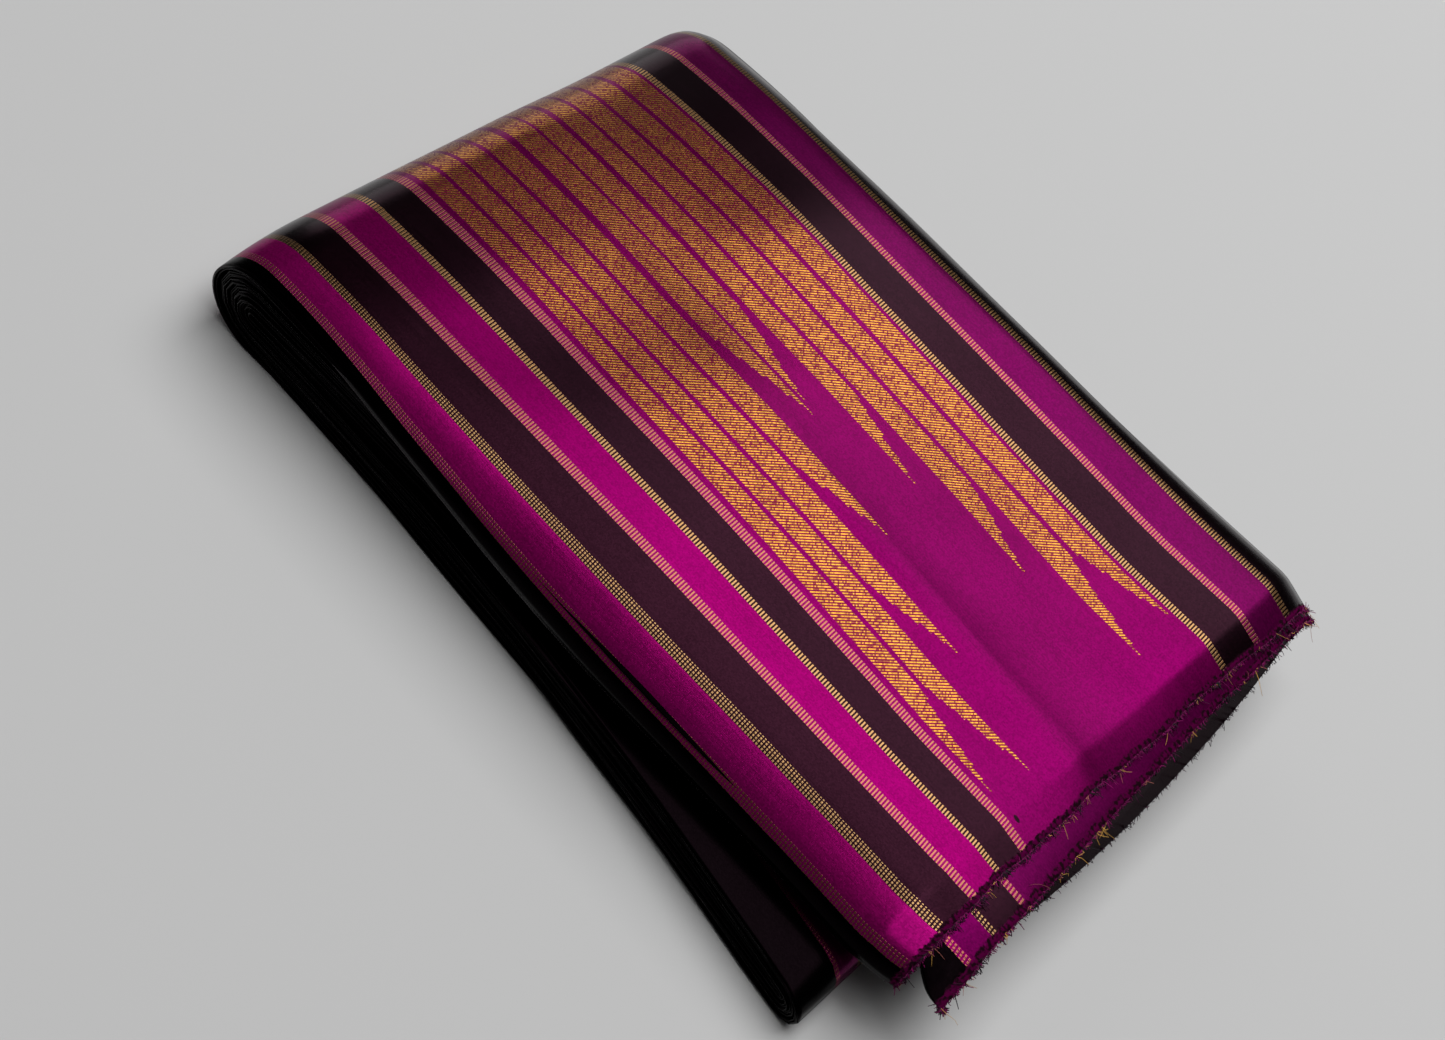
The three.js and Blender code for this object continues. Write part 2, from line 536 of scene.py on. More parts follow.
    def corner_shift(self, along: Array, layer: Array, across: Array) -> Array:
        """How far the top run's layers lie to the right near the left front corner.

        The lower layers lie in from the left side with a square law, but their very corner springs
        back out. The top layer is only pulled in at its cut edge.

        Args:
            along: Length from the cut end.
            layer: The layer of each column.
            across: The share across of each column.

        Returns:
            The shift to the right.
        """
        inset = np.array(self.inset_left)[layer] * fading(along, self.inset_length) ** 2
        flare = self.corner_flare * smooth_step(along, *self.flare_fade)
        flare = flare * fading(across, self.flare_share)
        inset = inset - np.where(layer > 0, flare, 0.0)
        pull = self.corner_pull * fading(along, self.pull_length) ** 2
        pull = pull * fading(across, self.pull_share)
        return inset * (1.0 - across) + np.where(layer == 0, pull, 0.0)

    def second_reach(self, from_end: Array, across: Array) -> Array:
        """How far the other cut end reaches out, more in its middle, with a square law along it."""
        reach = self.second_hang + self.second_belly * 4.0 * across * (1.0 - across)
        return reach * fading(from_end, self.second_length) ** 2

    def lowered(self, from_cut: Array, below: Array, across: Array) -> Array:
        """How far the layers of a cut end lie lower: they part, and both ends bend down.

        Args:
            from_cut: Length from the nearer cut end.
            below: How many layers down from the top layer.
            across: The share across of each column.

        Returns:
            The drop, which opens with a square law towards the cut and bends evenly.
        """
        open_end = fading(from_cut, self.parting) ** 2
        gape = self.parting_left * (1.0 - across) + self.parting_right * across
        parted = np.where(below > 0, open_end * (gape + self.parting_step * below), 0.0)
        return parted + self.end_sink * fading(from_cut, self.end_crease)

    def hem_path(self, y: Array, across: Array) -> tuple[Array, Array, Array]:
        """Works out the top layer's free hem, which leaves the top and bends down like an arc.

        Args:
            y: Places along the sari.
            across: The share across of each column.

        Returns:
            How far each place is let out to the left along the top, and then how far it stands
            out and hangs down beyond the top's edge.
        """
        grown = smooth_step(y, *self.hem_grows)
        hem = self.hem_back + (self.hem - self.hem_back) * grown
        top = self.hem_share * self.plan.width
        gone = fading(across, self.hem_share)
        length = gone * (top + hem)
        let_out = np.minimum(length, top) - gone * top
        first, last = self.hem_angles
        turned = (last - first) / hem
        angle = first + turned * np.maximum(length - top, 0.0)
        out = (np.sin(angle) - np.sin(first)) / turned
        down = (np.cos(first) - np.cos(angle)) / turned
        return let_out, out, down

    def cut_reach(self, along: Array, layer: Array, across: Array) -> Array:
        """How far each layer of the top run reaches past the top layer's cut edge.

        Args:
            along: Length from the cut end.
            layer: The layer of each column.
            across: The share across of each column.

        Returns:
            The reach, which dies out with a square law along the run, with a ragged cut line.
        """
        left = np.array(self.reach_left)[layer] * (1.0 - across) ** self.reach_power
        right = np.array(self.reach_right)[layer] * across
        belly = np.where(layer == 0, self.reach_middle * 4.0 * across * (1.0 - across), 0.0)
        fade = fading(along, self.reach_length) ** 2
        ragged = sum(size * np.sin(rate * across + turn * layer) for size, rate, turn in self.ragged)
        edge = fading(along, self.ragged_length)
        return fade * (left + right + belly) + edge * ragged

    def drifted(self, y: Array, lane: Array) -> Array:
        """How far the top layer is pulled sideways, growing evenly towards the front."""
        grown = np.clip((self.drift_start - y) / self.drift_length, 0.0, 1.0)
        return self.drift * grown * np.interp(lane, self.drift_lanes, self.drift_shares)

    def relief(self, x: Array, y: Array) -> Array:
        """The top layer's own relief: a low ridge along the old crease, and faint ripples.

        The ridge falls off as an exponential on each side, faster on the right, and dies out
        towards the back.

        Args:
            x: Places across the sari.
            y: Places along it.

        Returns:
            The height to add, nowhere below zero.
        """
        (x0, y0), (x1, y1) = self.crease_top, self.crease_foot
        beside = x - (x0 + (y - y0) * (x1 - x0) / (y1 - y0))
        reach = np.where(beside < 0.0, self.crease_left, self.crease_right)
        ridge = self.crease_rise * smooth_step(y, *self.crease_fade) * np.exp(-np.abs(beside) / reach)
        waves = sum(np.sin(x / over + y / down) for over, down in self.ripple_lengths)
        return ridge + self.ripple * (1.0 + waves / len(self.ripple_lengths))

    def build(self, axes: "SariAxes") -> bpy.types.Object:
        """Makes the sheet's mesh with its cloth places and its texture map.

        Args:
            axes: The sari's axes in the frame.

        Returns:
            The sheet, with its thickness as a live modifier.
        """
        self.line = self.plan.middle_line()
        self.section = self.columns(self.reference_row())
        self.grid = self.points(self.line, self.section)
        rows, count = self.grid.shape[:2]
        index = np.arange(rows * count).reshape(rows, count)
        quads = np.stack([index[:-1, :-1], index[:-1, 1:], index[1:, 1:], index[1:, :-1]], axis=-1)
        sheet = new_mesh(self.name, axes.to_frame(self.grid.reshape(-1, 3)), quads.reshape(-1, 4))
        along = np.broadcast_to(self.line.along[:, None], (rows, count))
        lane = np.broadcast_to(self.section.lane, (rows, count))
        layer = np.broadcast_to(self.section.layer, (rows, count))
        store_vectors(sheet.data, CLOTH_PLACE, np.stack([lane, along, layer], axis=-1).reshape(-1, 3))
        store_map(sheet.data, self.texture_map(rows, count), quads.reshape(-1))
        thicken = sheet.modifiers.new("silk", "SOLIDIFY")
        thicken.thickness = self.silk * METRES
        thicken.offset = 0.0
        return sheet

    def texture_map(self, rows: int, count: int) -> Array:
        """Gives the cloth that shows most of the texture: two piecewise even scales.

        Args:
            rows: Rows of the sheet.
            count: Columns of the sheet.

        Returns:
            The map's places, one for each point of the sheet.
        """
        whole_width = self.layers * self.layer_width
        whole_length = self.line.along[-1]
        top = self.plan.length
        across = np.interp(self.section.width, (0.0, self.layer_width, whole_width), self.map_across)
        parts = (0.0, top, 3 * top, whole_length - self.map_end, whole_length)
        along = np.interp(self.line.along, parts, self.map_along)
        grid = np.stack(np.broadcast_arrays(across, along[:, None]), axis=-1)
        return grid.reshape(rows * count, 2)


class YarnTone(Enum):
    """Colours of loose yarn, in linear light."""

    FUCHSIA = (0.17, 0.002, 0.08)
    PLUM = (0.035, 0.001, 0.02)
    BLACK = (0.012, 0.008, 0.012)
    GOLD = (0.6, 0.33, 0.07)
    PALE = (0.4, 0.13, 0.1)


@dataclass(frozen=True)
class YarnBatch:
    """A batch of loose yarn along a cut edge: how many, how long and thick, and how they lie."""

    layer: int
    second_end: bool
    count: int
    shortest: float
    longest: float
    radius: float
    slant: float  # spread of the yarns' heading from straight out, in radians
    curl: float
    tones: tuple[YarnTone, ...]
    clumps: int = 0  # how many clumps the yarns gather in, 0 for none


FUZZ = (YarnTone.FUCHSIA, YarnTone.FUCHSIA, YarnTone.PLUM, YarnTone.FUCHSIA, YarnTone.PLUM)
GLINTS = (YarnTone.GOLD, YarnTone.GOLD, YarnTone.PALE)
DARK = (YarnTone.BLACK, YarnTone.PLUM, YarnTone.BLACK)


@dataclass
class YarnEnds:
    """Loose yarn ends along the cut edges, all in one mesh."""

    cloth: SariCloth
    name: str = "cut_yarn_ends"
    seed: int = 21
    steps: int = 6
    sides: int = 3
    clump_spread: float = 0.004  # share of the width
    rooted: float = 0.12  # share of a yarn that is inside the cloth
    curl_share: float = 0.4
    droop: float = 0.35
    tip: float = 0.55  # the tip's radius as a share of the root's
    aslant: Triple = (0.31, 0.22, 0.92)  # a heading that no yarn has
    tone_range: Pair = (0.6, 1.25)
    batches: tuple[YarnBatch, ...] = (
        YarnBatch(0, False, 1900, 0.3, 1.3, 0.26, 1.2, 1.2, FUZZ),
        YarnBatch(0, False, 400, 0.5, 1.6, 0.26, 1.4, 1.5, DARK, 40),
        YarnBatch(0, False, 200, 0.8, 2.1, 0.22, 1.4, 1.6, FUZZ, 30),
        YarnBatch(0, False, 120, 0.8, 2.4, 0.14, 1.5, 1.3, GLINTS, 26),
        YarnBatch(0, False, 4, 7.0, 13.0, 0.11, 1.5, 0.2, GLINTS),
        YarnBatch(1, False, 1300, 0.3, 1.3, 0.26, 1.2, 1.2, FUZZ),
        YarnBatch(1, False, 300, 0.5, 1.6, 0.26, 1.4, 1.5, DARK, 34),
        YarnBatch(1, False, 110, 0.9, 2.8, 0.14, 1.5, 1.3, GLINTS, 18),
        YarnBatch(1, False, 4, 7.0, 12.0, 0.11, 1.4, 0.2, GLINTS),
        YarnBatch(2, False, 200, 0.4, 1.5, 0.2, 1.0, 0.9, FUZZ),
        YarnBatch(4, False, 200, 0.4, 1.5, 0.2, 1.0, 0.9, DARK),
        YarnBatch(4, True, 300, 0.4, 1.6, 0.2, 1.0, 0.9, DARK),
        YarnBatch(2, True, 200, 0.4, 1.5, 0.2, 1.0, 0.9, DARK),
    )

    def shares(self, draw: np.random.Generator, batch: YarnBatch) -> Array:
        """Draws where the yarns of a batch are rooted, evenly or gathered in clumps.

        Args:
            draw: The seeded source of chance.
            batch: The batch of yarn.

        Returns:
            Shares of the layer's width.
        """
        if not batch.clumps:
            return draw.uniform(0.0, 0.999, batch.count)
        centres = draw.uniform(0.02, 0.98, batch.clumps)
        gathered = centres[draw.integers(0, batch.clumps, batch.count)]
        return np.clip(gathered + draw.normal(0.0, self.clump_spread, batch.count), 0.0, 0.999)

    def edge(self, batch: YarnBatch, share: Array) -> tuple[Array, Array]:
        """Finds roots on a layer's cut edge, and the way out of the cloth there.

        Args:
            batch: The batch of yarn, which names the layer and the end.
            share: Where the yarns are rooted, as shares of the layer's columns.

        Returns:
            The roots and the unit headings out of the cut.
        """
        grid = self.cloth.grid[::-1] if batch.second_end else self.cloth.grid
        columns = np.flatnonzero(self.cloth.section.layer == batch.layer)
        place = columns[0] + share * (columns[-1] - columns[0])
        low = np.floor(place).astype(int)
        rest = (place - low)[:, None]
        cut, inside = (grid[row, low] * (1.0 - rest) + grid[row, low + 1] * rest for row in (0, 2))
        heading = cut - inside
        return cut, heading / np.linalg.norm(heading, axis=1, keepdims=True)

    def paths(self, draw: np.random.Generator, batch: YarnBatch) -> Array:
        """Works out the yarns' middle lines: a straight heading, a bend, a curl and a droop.

        Args:
            draw: The seeded source of chance.
            batch: The batch of yarn.

        Returns:
            Points along each yarn, rooted just inside the cloth.
        """
        count = batch.count
        root, out = self.edge(batch, self.shares(draw, batch))
        turn = draw.normal(0.0, batch.slant, count)[:, None]
        up = np.array((0.0, 0.0, 1.0))
        aside = np.cross(out, up)
        heading = out * np.cos(turn) + aside * np.sin(turn)
        beside = np.cross(heading, up)
        length = draw.uniform(batch.shortest, batch.longest, count)[:, None, None]
        t = np.linspace(0.0, 1.0, self.steps)[None, :, None]
        bend = draw.normal(0.0, batch.curl, count)[:, None, None]
        waves = draw.uniform(0.3, 1.1, count)[:, None, None]
        lift = draw.uniform(-0.5, 0.5, count)[:, None, None]
        swing = bend * t * t + self.curl_share * batch.curl * t * np.sin(2.0 * np.pi * waves * t)
        rise = lift * t - self.droop * t * t
        path = heading[:, None] * (t - self.rooted) + beside[:, None] * swing + up * rise
        return root[:, None] + length * path

    def tubes(self, path: Array, radius: float) -> Array:
        """Puts a thin ring of points round each place of each path, narrower towards the tip.

        Args:
            path: Points along each yarn.
            radius: The yarn's radius at its root.

        Returns:
            The rings' points, by yarn, step and side.
        """
        ahead = np.gradient(path, axis=1)
        ahead = ahead / np.linalg.norm(ahead, axis=2, keepdims=True)
        first = np.cross(ahead, self.aslant)
        first = first / np.linalg.norm(first, axis=2, keepdims=True)
        second = np.cross(ahead, first)
        angle = np.linspace(0.0, 2.0 * np.pi, self.sides, endpoint=False)[None, None, :, None]
        taper = np.linspace(1.0, self.tip, self.steps)[None, :, None, None]
        ring = first[:, :, None] * np.cos(angle) + second[:, :, None] * np.sin(angle)
        return path[:, :, None] + radius * taper * ring

    def build(self, axes: "SariAxes") -> bpy.types.Object:
        """Makes all the yarn ends as one joined mesh with a colour for each yarn.

        Args:
            axes: The sari's axes in the frame.

        Returns:
            The mesh object.
        """
        draw = np.random.default_rng(self.seed)
        rings = []
        tones = []
        for batch in self.batches:
            rings.append(self.tubes(self.paths(draw, batch), batch.radius))
            palette = np.array([tone.value for tone in batch.tones])
            picked = palette[draw.integers(0, len(palette), batch.count)]
            tones.append(picked * draw.uniform(*self.tone_range, (batch.count, 1)))
        points = np.concatenate(rings)
        colours = np.concatenate(tones)
        count = len(points)
        index = np.arange(points[..., 0].size).reshape(count, self.steps, self.sides)
        ahead = np.roll(index, -1, axis=2)
        walls = np.stack([index[:, :-1], ahead[:, :-1], ahead[:, 1:], index[:, 1:]], axis=-1)
        ends = [index[:, 0, ::-1], index[:, -1]]
        faces = walls.reshape(-1, 4).tolist() + np.concatenate(ends).tolist()
        yarn = new_mesh(self.name, axes.to_frame(points.reshape(-1, 3)), faces)
        each = np.repeat(colours, self.steps * self.sides, axis=0)
        store_vectors(yarn.data, YARN_TONE, each)
        return yarn


@dataclass(frozen=True)
class SariAxes:
    """Where the sari's own axes lie in the frame."""

    shift: Triple

    @classmethod
    def from_frame(cls, plan: FoldPlan) -> "SariAxes":
        """Sets the right edge and the back of the straight stack on the solid's box."""
        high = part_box(CLOTH_NODE)[1]
        return cls((high.x - plan.width / 2 * METRES, high.y - plan.length / 2 * METRES, 0.0))

    def to_frame(self, points: Array) -> Array:
        """Turns millimetres of the sari into metres of the frame."""
        return np.asarray(points) * METRES + np.array(self.shift)


def linked(name: str, data: bpy.types.ID) -> bpy.types.Object:
    """Makes an object at the origin and links it to the scene.

    Args:
        name: The object's name.
        data: Its mesh, light or camera.

    Returns:
        The new object.
    """
    thing = bpy.data.objects.new(name, data)
    bpy.context.scene.collection.objects.link(thing)
    return thing


def new_mesh(name: str, points: Array, faces: Array | list[list[int]]) -> bpy.types.Object:
    """Makes a smooth mesh object at the origin and links it to the scene.

    Args:
        name: The object's name.
        points: Its points in metres.
        faces: Its faces as point numbers.

    Returns:
        The new object.
    """
    mesh = bpy.data.meshes.new(name)
    mesh.from_pydata(points.tolist(), [], faces if isinstance(faces, list) else faces.tolist())
    mesh.polygons.foreach_set("use_smooth", np.ones(len(mesh.polygons), bool))
    mesh.update()
    return linked(name, mesh)


def store_vectors(mesh: bpy.types.Mesh, name: str, values: Array) -> None:
    """Keeps three numbers for each point of a mesh under a name that materials read."""
    mesh.attributes.new(name, "FLOAT_VECTOR", "POINT").data.foreach_set("vector", values.ravel())


def store_map(mesh: bpy.types.Mesh, places: Array, corners: Array) -> None:
    """Gives a mesh its texture map, with the place of the point at each face corner."""
    mesh.uv_layers.new(name=TEXTURE_MAP).data.foreach_set("uv", places[corners].ravel())


def sum_of(operation: str) -> Callable[..., "Wire"]:
    """Makes a method that puts a value and others into one sum.

    Args:
        operation: The sum's name.

    Returns:
        The method, whose result is the sum's.
    """
    return lambda value, *others: value.graph.math(operation, value, *others)


class Wire:
    """A value inside a material that sums can be written with, each sum a node of its own."""

    __add__ = sum_of("ADD")
    __sub__ = sum_of("SUBTRACT")
    __mul__ = sum_of("MULTIPLY")
    __truediv__ = sum_of("DIVIDE")
    __gt__ = sum_of("GREATER_THAN")  # 1 where it holds, else 0
    __lt__ = sum_of("LESS_THAN")
    least = sum_of("MINIMUM")
    most = sum_of("MAXIMUM")
    floor = sum_of("FLOOR")

    def __init__(self, graph: "FinishGraph", socket: Socket) -> None:
        """Keeps the material and the socket that gives the value."""
        self.graph = graph
        self.socket = socket

    def __rsub__(self, other: float) -> "Wire":
        """A plain number less this."""
        return self.graph.math("SUBTRACT", other, self)

    def swing(self) -> "Wire":
        """To and fro between 0 and a half, once for each whole number."""
        return self.graph.math("PINGPONG", self, 0.5)


class FinishGraph:
    """Short calls that add shading nodes to one material."""

    def __init__(self, name: str) -> None:
        """Starts a material with a shader and its output.

        Args:
            name: The material's name.
        """
        self.material = bpy.data.materials.new(name)
        self.material.use_nodes = True
        self.nodes = self.material.node_tree.nodes
        self.nodes.clear()
        shader = self.nodes.new("ShaderNodeBsdfPrincipled")
        output = self.nodes.new("ShaderNodeOutputMaterial")
        self.inputs = shader.inputs
        self.join(shader.outputs["BSDF"], output.inputs["Surface"])

    def join(self, source: Socket, target: Socket) -> None:
        """Links one socket to another."""
        self.material.node_tree.links.new(source, target)

    def feed(self, target: Socket, value: Wire | float | Colour) -> None:
        """Links a value to a socket, or sets a plain value on it.

        Args:
            target: The socket.
            value: What it takes, a colour with or without its alpha as the socket asks.
        """
        if isinstance(value, Wire):
            self.join(value.socket, target)
        elif isinstance(value, tuple):
            target.default_value = (*value, 1.0)[: len(target.default_value)]
        else:
            target.default_value = value

    def finish(self, **values: Wire | float | Colour) -> None:
        """Feeds the shader's inputs, each named with a low line for a space."""
        for name, value in values.items():
            self.feed(self.inputs[name.replace("_", " ")], value)

    def add(self, kind: str, values: dict[str | int, Wire | float | Colour],
            result: str | int = 0, **settings: str) -> Wire:
        """Adds one node.

        Args:
            kind: The node's kind, without the words that all kinds start with.
            values: What goes into it, by the names or numbers of its inputs.
            result: The name or number of the output that is wanted.
            **settings: The node's own choices.

        Returns:
            The output.
        """
        node = self.nodes.new("ShaderNode" + kind)
        for name, choice in settings.items():
            setattr(node, name, choice)
        for key, value in values.items():
            self.feed(node.inputs[key], value)
        return Wire(self, node.outputs[result])

    def math(self, operation: str, *values: Wire | float) -> Wire:
        """Adds one sum of the values."""
        return self.add("Math", dict(enumerate(values)), operation=operation)

    def vector(self, x: Wire | float, y: Wire | float, z: Wire | float = 0.0) -> Wire:
        """Puts three numbers together."""
        return self.add("CombineXYZ", {0: x, 1: y, 2: z})

    def parts(self, attribute: str) -> tuple[Wire, ...]:
        """Reads the three numbers that the mesh keeps under a name.

        Args:
            attribute: The name.

        Returns:
            The three numbers.
        """
        reader = self.nodes.new("ShaderNodeAttribute")
        reader.attribute_name = attribute
        split = self.nodes.new("ShaderNodeSeparateXYZ")
        self.join(reader.outputs["Vector"], split.inputs[0])
        return tuple(Wire(self, part) for part in split.outputs)

    def split(self, colour: Wire) -> tuple[Wire, ...]:
        """Takes a colour's three numbers apart.

        Args:
            colour: The colour.

        Returns:
            Its red, green and blue.
        """
        node = self.nodes.new("ShaderNodeSeparateColor")
        self.feed(node.inputs[0], colour)
        return tuple(Wire(self, part) for part in node.outputs)

    def object_place(self) -> Wire:
        """The place on the object, in metres."""
        return self.add("TexCoord", {}, "Object")

    def scaled(self, colour: Wire | Colour, factor: Wire | float) -> Wire:
        """A colour or a place, with each of its numbers multiplied by a factor."""
        return self.add("VectorMath", {0: colour, "Scale": factor}, operation="SCALE")

    def step(self, value: Wire, low: float, high: float) -> Wire:
        """A smooth step from 0 at low to 1 at high, which falls where high is below low."""
        return self.add("MapRange", {0: value, 1: low, 2: high}, interpolation_type="SMOOTHSTEP")

    def ramp(self, value: Wire, stops: list[tuple[float, Colour]]) -> Wire:
        """Steps through colours, each held from its place to the next.

        Args:
            value: The place, from 0 to 1.
            stops: Places and colours, in order.

        Returns:
            The colour.
        """
        node = self.nodes.new("ShaderNodeValToRGB")
        ramp = node.color_ramp
        ramp.interpolation = "CONSTANT"
        while len(ramp.elements) < len(stops):
            ramp.elements.new(1.0)
        for element, (place, colour) in zip(ramp.elements, stops):
            element.position = place
            element.color = (*colour, 1.0)
        self.feed(node.inputs[0], value)
        return Wire(self, node.outputs[0])

    def blend(self, share: Wire, first: Wire | Colour, second: Wire | Colour) -> Wire:
        """Goes from the first colour, where the share is 0, to the second, where it is 1."""
        return self.add("Mix", {0: share, 6: first, 7: second}, 2, data_type="RGBA")

    def noise(self, place: Wire, detail: float = 2.0) -> Wire:
        """Soft noise of about one unit's grain, from 0 to 1."""
        return self.add("TexNoise", {"Vector": place, "Scale": 1.0, "Detail": detail}, "Fac")

    def chance(self, place: Wire) -> Wire:
        """A number of chance for each place, from 0 to 1."""
        return self.add("TexWhiteNoise", {"Vector": place}, "Value", noise_dimensions="3D")

    def emboss(self, height: Wire, depth: float, strength: float) -> None:
        """Raises the shader's surface by a height, without moving the mesh.

        Args:
            height: The height, from 0 to 1.
            depth: What a height of 1 stands for, in millimetres.
            strength: How much of it shows.
        """
        values = {"Strength": strength, "Distance": depth * METRES, "Height": height}
        self.feed(self.inputs["Normal"], self.add("Bump", values, "Normal"))


class ClothSpot(NamedTuple):
    """A place on the flat cloth: across from the layer's left edge, and from the cut end."""

    graph: FinishGraph
    lane: Wire
    along: Wire

    def noise(self, across: float, down: float, detail: float = 2.0) -> Wire:
        """Soft noise with its own grain each way."""
        return self.graph.noise(self.graph.vector(self.lane * across, self.along * down), detail)

    def chance(self, side: float) -> Wire:
        """A number of chance for each square cell of the cloth."""
        column, row = ((part / side).floor() for part in (self.lane, self.along))
        return self.graph.chance(self.graph.vector(column, row))


class Ground(Enum):
    """The silk grounds of the warp, in linear light, with painted sheen in one and painted shade in two.
    """

    # fuchsia painted brighter: a painted sheen for the stripe on the left shoulder
    LIT_FUCHSIA = (0.215, 0.002, 0.092)
    FUCHSIA = (0.142, 0.0003, 0.060)
    FIELD = (0.108, 0.0003, 0.048)
    # a purple ground, and painted shade: it also stands for the lower layers' fuchsia and field, painted
    # darker where they lie in shade
    PURPLE_AND_SHADE = (0.082, 0.0006, 0.041)
    BLACK = (0.0107, 0.0027, 0.0058)
    # black painted darker still: painted shade on the hem that hangs down the left side, and on the lower
    # layers' left edge
    SHADE_BLACK = (0.0013, 0.0007, 0.0010)


class Zari(Enum):
    """The metal lines beside the stripes: yarn colour, and how much is bars and how much dots."""

    NONE = ((0.0, 0.0, 0.0), 0.0, 0.0)
    PINK_BARS = ((0.24, 0.085, 0.055), 1.0, 0.0)
    GOLD_BARS = ((0.26, 0.145, 0.06), 1.0, 0.0)
    PINK_DOTS = ((0.24, 0.08, 0.05), 1.0, 1.0)
    GOLD_DOTS = ((0.26, 0.15, 0.065), 1.0, 1.0)


@dataclass(frozen=True)
class Stripe:
    """A warp stripe: where it starts from the layer's left edge, its ground and its metal."""

    start: float
    ground: Ground
    zari: Zari = Zari.NONE


@dataclass(frozen=True)
class Ray:
    """A woven ray: its edges, its tip's distance from the cut, its taper and its notched side."""

    left: float
    right: float
    tip: float
    taper: float
    notched_right: bool


@dataclass(frozen=True)
class RayFan:
    """The woven rays of the end piece: ten bands that taper towards the cut edge."""

    rays: tuple[Ray, ...] = (
        Ray(75.9, 83.9, 22.4, 43.0, True),
        Ray(85.8, 94.4, 20.0, 45.0, False),
        Ray(96.3, 105.8, 66.5, 38.0, False),
        Ray(107.8, 117.3, 114.5, 37.0, False),
        Ray(120.6, 130.4, 166.5, 47.0, False),
        Ray(131.9, 140.9, 172.5, 42.0, True),
        Ray(143.5, 152.2, 124.0, 41.0, True),
        Ray(154.1, 164.1, 75.0, 38.0, True),
        Ray(166.1, 176.2, 25.0, 44.0, True),
        Ray(178.4, 188.5, 30.0, 40.0, False),
    )
    notch: float = 5.4
    notch_lean: float = 0.2
    notch_chance: float = 0.7
    thinnest: float = 0.5
    twill_pitch: float = 1.38
    twill_slant: float = 0.72
    stitch: float = 0.8
    yarn_edge: Pair = (0.18, 0.36)  # where a twill line passes from gap to yarn
    dropped: Pair = (0.74, 0.9)  # chance numbers of stitches that are dropped
    mirror_line: float = 357.0  # the rays close again on the underside
    longest: float = 200.0  # these two bring lengths and widths between 0 and 1
    widest: float = 20.0

    def starts(self) -> list[float]:
        """Where each ray's cell starts: halfway through the gap before it."""
        gaps = [(before.right + after.left) / 2 for before, after in zip(self.rays, self.rays[1:])]
        return [self.rays[0].left - 1.0, *gaps]


